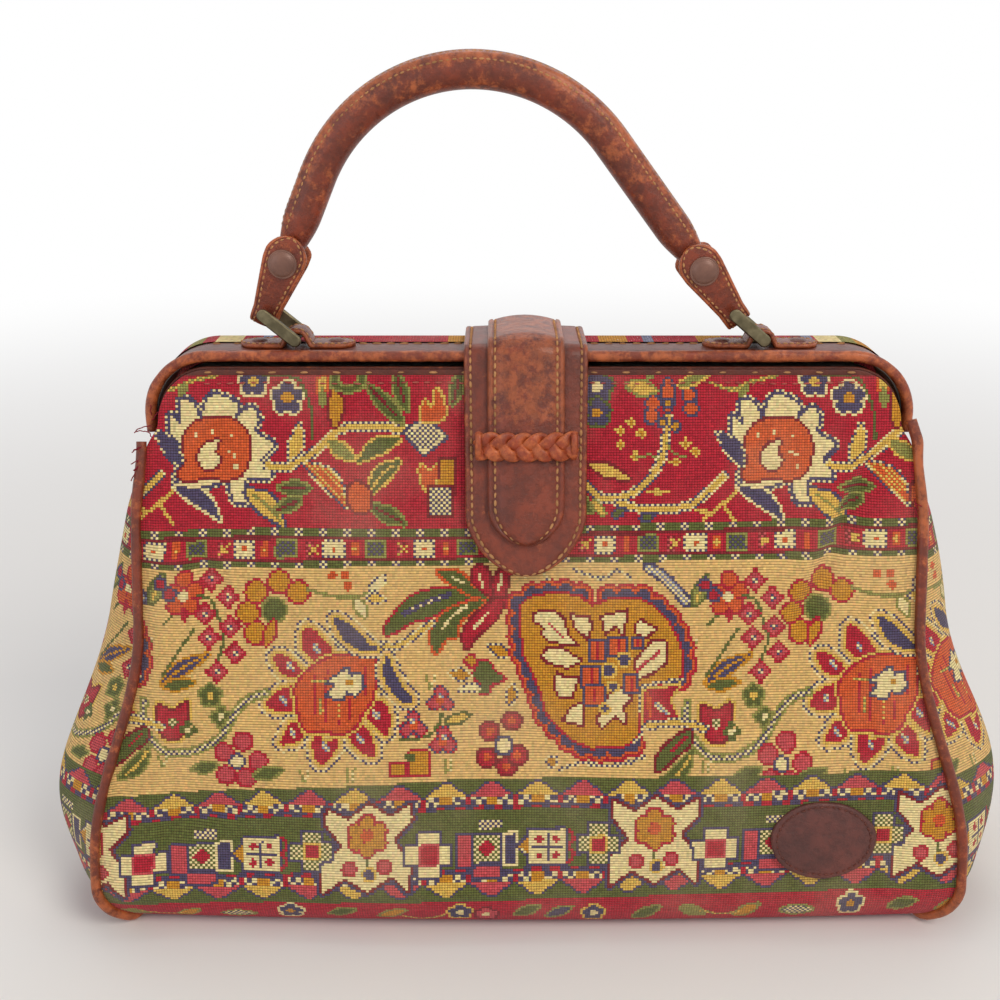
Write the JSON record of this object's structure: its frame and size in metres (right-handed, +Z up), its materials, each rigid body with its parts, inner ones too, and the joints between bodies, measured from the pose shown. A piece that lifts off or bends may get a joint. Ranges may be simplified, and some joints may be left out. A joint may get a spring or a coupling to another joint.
{
  "type": "carpet bag",
  "caption": "Framed carpet bag of flowered tapestry with leather piping, hinged frame, closing tab with plaited keeper and a rolled leather handle on rings.",
  "frame": {"origin": "middle of the base, on the surface that the bag stands on", "axes": "+X to the right seen from the front, -Y to the front with the closing tab, +Z up"},
  "size_m": [0.397, 0.1476, 0.3438],
  "materials": {
    "tapestry": "woven carpet tapestry in bands of red and straw with flowers and borders, matt, coarse ribbed weave",
    "brown_leather": "dark chestnut leather, soft sheen, rubbed orange at folds and high spots",
    "piping_leather": "thin brown leather over cord, rubbed to orange tan at the corners",
    "plaited_leather": "chestnut leather strands, glossy on their crowns",
    "patch_leather": "dark brown leather, stitched round the edge",
    "frame_steel": "plain pressed steel",
    "ring_bronze": "dull dark bronze",
    "cap_metal": "brown lacquered caps, slightly worn",
    "lining_cloth": "plain woven cotton",
    "base_fibre": "stiff fibre board",
    "filler_cord": "twisted filler cord"
  },
  "bodies": {
    "bag": {"front_panel": "tapestry", "rear_panel": "tapestry", "base_panel": "tapestry", "base_board": "base_fibre", "lining": "lining_cloth", "gusset_left": "tapestry", "gusset_right": "tapestry", "piping_left": "piping_leather", "piping_right": "piping_leather", "hinge_rivet_left": "frame_steel", "hinge_rivet_right": "frame_steel", "snap_socket": "frame_steel", "oval_patch": "patch_leather"},
    "front_half": {"front_frame": "frame_steel", "front_edging": "brown_leather", "front_panel_top": "tapestry"},
    "rear_half": {"rear_frame": "frame_steel", "rear_top_leather": "brown_leather", "rolled_edge": "piping_leather", "rear_panel_top": "tapestry", "tab_back": "brown_leather", "chape_left": "brown_leather", "chape_right": "brown_leather"},
    "tab": {"closing_tab": "brown_leather", "inner_strap": "brown_leather", "braided_keeper": "plaited_leather", "snap_stud": "frame_steel"},
    "left_ring": {"ring_left": "ring_bronze"},
    "right_ring": {"ring_right": "ring_bronze"},
    "carry_handle": {"handle": "brown_leather", "handle_core": "filler_cord", "snap_cap_left": "cap_metal", "snap_cap_right": "cap_metal"}
  },
  "joints": [
    {"name": "rear_opening", "type": "hinge", "parent": "bag", "child": "rear_half", "pos_m": [0, 0, 0.199], "axis": [-1, 0, 0], "range_deg": [0, 45]},
    {"name": "front_opening", "type": "hinge", "parent": "bag", "child": "front_half", "pos_m": [0, 0, 0.199], "axis": [1, 0, 0], "range_deg": [0, 45]},
    {"name": "tab_lift", "type": "hinge", "parent": "rear_half", "child": "tab", "pos_m": [-0.0015, 0.01773, 0.2329], "axis": [-1, 0, 0], "range_deg": [0, 112.5]},
    {"name": "ring_left_swing", "type": "hinge", "parent": "rear_half", "child": "left_ring", "pos_m": [-0.0925, -0.002, 0.2355], "axis": [0, 1, 0], "range_deg": [0, 100]},
    {"name": "handle_turn", "type": "hinge", "parent": "left_ring", "child": "carry_handle", "pos_m": [-0.1043, -0.002, 0.2454], "axis": [0, -1, 0], "range_deg": [0, 100]},
    {"name": "ring_right_swing", "type": "hinge", "parent": "rear_half", "child": "right_ring", "pos_m": [0.0925, -0.002, 0.2355], "axis": [0, 1, 0], "range_deg": [0, 100]}
  ],
  "couplings": [
    {"joint": "front_opening", "follows": "rear_opening", "ratio": 1},
    {"joint": "tab_lift", "follows": "rear_opening", "ratio": 2.5},
    {"joint": "handle_turn", "follows": "ring_left_swing", "ratio": 1},
    {"joint": "ring_right_swing", "follows": "ring_left_swing", "ratio": 1}
  ]
}
